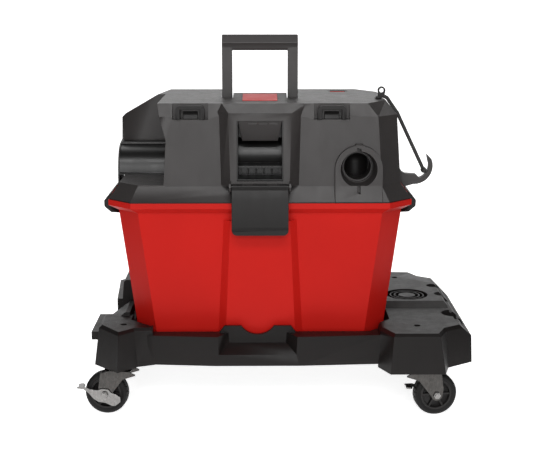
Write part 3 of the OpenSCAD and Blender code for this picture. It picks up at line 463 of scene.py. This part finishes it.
for k in ("fl", "fr", "rl", "rr"):
    PASSES["tyre_" + k] = [dict(width=0.35 * MM, segments=2, limit=30)]
    PASSES["wheel_hub_" + k] = [SMALL]
    PASSES["caster_fork_" + k] = [dict(width=0.7 * MM, segments=2)]
    PASSES["wheel_axle_" + k] = [dict(width=0.5 * MM, segments=2)]
for k in ("fl", "fr"):
    PASSES["brake_lever_" + k] = [dict(width=0.7 * MM, segments=2)]

for node in NODES:
    rebuild(node, *PASSES.get(node, [SMALL]))

# ---------- Stage, light and camera ----------


def stage_mesh(name, points, faces, mat):
    mesh = bpy.data.meshes.new(name)
    mesh.from_pydata(points, [], faces)
    obj = bpy.data.objects.new(name, mesh)
    bpy.context.scene.collection.objects.link(obj)
    for p in mesh.polygons:
        p.use_smooth = True
    mesh.materials.append(mat)
    return obj


def paper_white():
    """Pale studio sweep. It glows under and behind the object and fades to the front, sides and top."""
    n = Nodes("studio_white")
    xyz = n.add("ShaderNodeSeparateXYZ")
    n.link(n.coords, "Object", xyz, "Vector")

    def maths(kind, a, b):
        m = n.add("ShaderNodeMath", operation=kind)
        for i, v in enumerate((a, b)):
            if isinstance(v, (int, float)):
                m.inputs[i].default_value = v
            else:
                n.tree.links.new(v, m.inputs[i])
        return m.outputs[0]

    across = maths("ABSOLUTE", xyz.outputs["X"], 0.0)
    side = maths("SUBTRACT", across, maths("MULTIPLY", xyz.outputs["Y"], 0.26))
    spread = n.add("ShaderNodeMapRange")
    n.tree.links.new(side, spread.inputs["Value"])
    for key, value in zip(("From Min", "From Max", "To Min", "To Max"), (0.55, 0.85, 1.0, 0.0)):
        spread.inputs[key].default_value = value
    front = n.range(xyz, "Y", -0.62, -0.37, 0.0, 1.0)
    high = n.range(xyz, "Z", 0.85, 1.5, 1.0, 0.5)
    lit = maths("MULTIPLY", front.outputs[0], spread.outputs[0])
    soft = n.noise(3, 2, 0.5)
    pale = n.ramp(soft, "Fac", [(0.3, (0.90, 0.90, 0.90)), (0.7, (0.93, 0.93, 0.93))])
    grey = n.ramp(soft, "Fac", [(0.3, (0.50, 0.50, 0.50)), (0.7, (0.52, 0.52, 0.52))])
    base = n.add("ShaderNodeMix", data_type="RGBA")
    n.tree.links.new(grey.outputs["Color"], base.inputs[6])
    n.tree.links.new(pale.outputs["Color"], base.inputs[7])
    n.tree.links.new(lit, base.inputs[0])
    n.tree.links.new(base.outputs[2], n.bsdf.inputs["Base Color"])
    n.bsdf.inputs["Roughness"].default_value = 1.0
    n.bsdf.inputs["Specular IOR Level"].default_value = 0.0
    n.bsdf.inputs["Emission Color"].default_value = (1, 1, 1, 1)
    glow = maths("MULTIPLY", maths("MULTIPLY", lit, high.outputs[0]), 0.84)
    n.tree.links.new(glow, n.bsdf.inputs["Emission Strength"])
    return n.mat


def sweep():
    """Floor that curves up into a backdrop."""
    profile = [(-6.0, 0.0), (2.0, 0.0)]
    for i in range(1, 13):
        a = math.radians(90 * i / 12)
        profile.append((2.0 + 1.2 * math.sin(a), 1.2 * (1 - math.cos(a))))
    profile.append((3.2, 6.0))
    points, faces = [], []
    for x in (-7.0, 7.0):
        points += [(x, y, z) for y, z in profile]
    n = len(profile)
    for i in range(n - 1):
        faces.append((i, n + i, n + i + 1, i + 1))
    return stage_mesh("backdrop", points, faces, paper_white())


sweep()


def area(name, at, look, size, power):
    """A soft white panel light that the camera doesn't see. The numbers are metres and watts."""
    lamp = bpy.data.lights.new(name, "AREA")
    lamp.shape = "RECTANGLE"
    lamp.size, lamp.size_y = size
    lamp.energy = power
    obj = bpy.data.objects.new(name, lamp)
    bpy.context.scene.collection.objects.link(obj)
    obj.location = at
    obj.rotation_euler = (Vector(look) - Vector(at)).to_track_quat("-Z", "Y").to_euler()
    obj.visible_camera = False


area("key_front", (0.0, -3.3, 0.95), (0, 0, 0.6), (2.2, 1.8), 48)
area("key_mid", (0.0, -2.8, 1.75), (0, 0, 0.5), (2.0, 0.28), 18)
area("key_high", (0.0, -1.84, 2.38), (0, -0.17, 0.39), (2.0, 0.45), 32)
area("top", (0.0, 1.2, 2.6), (0, 0.1, 0.3), (2.6, 1.2), 20)

world = bpy.data.worlds.new("studio")
world.use_nodes = True
world.node_tree.nodes["Background"].inputs["Color"].default_value = (1, 1, 1, 1)
world.node_tree.nodes["Background"].inputs["Strength"].default_value = 0.08
scene = bpy.context.scene
scene.world = world
scene.view_settings.view_transform = "Standard"
scene.view_settings.look = "None"

# Camera: millimetres about the tank's middle, then degrees down and to the right, then lens and sensor in mm
EYE = (4.3, -2165, 736)
PITCH = 11.4
YAW = 0.62
LENS = 76.25
SENSOR = 36

cam = bpy.data.cameras.new("camera")
cam.lens = LENS
cam.sensor_width = SENSOR
cam.clip_end = 50
eye = bpy.data.objects.new("camera", cam)
scene.collection.objects.link(eye)
eye.location = place(*EYE)
eye.rotation_euler = (math.radians(90 - PITCH), 0, math.radians(-YAW))
scene.camera = eye
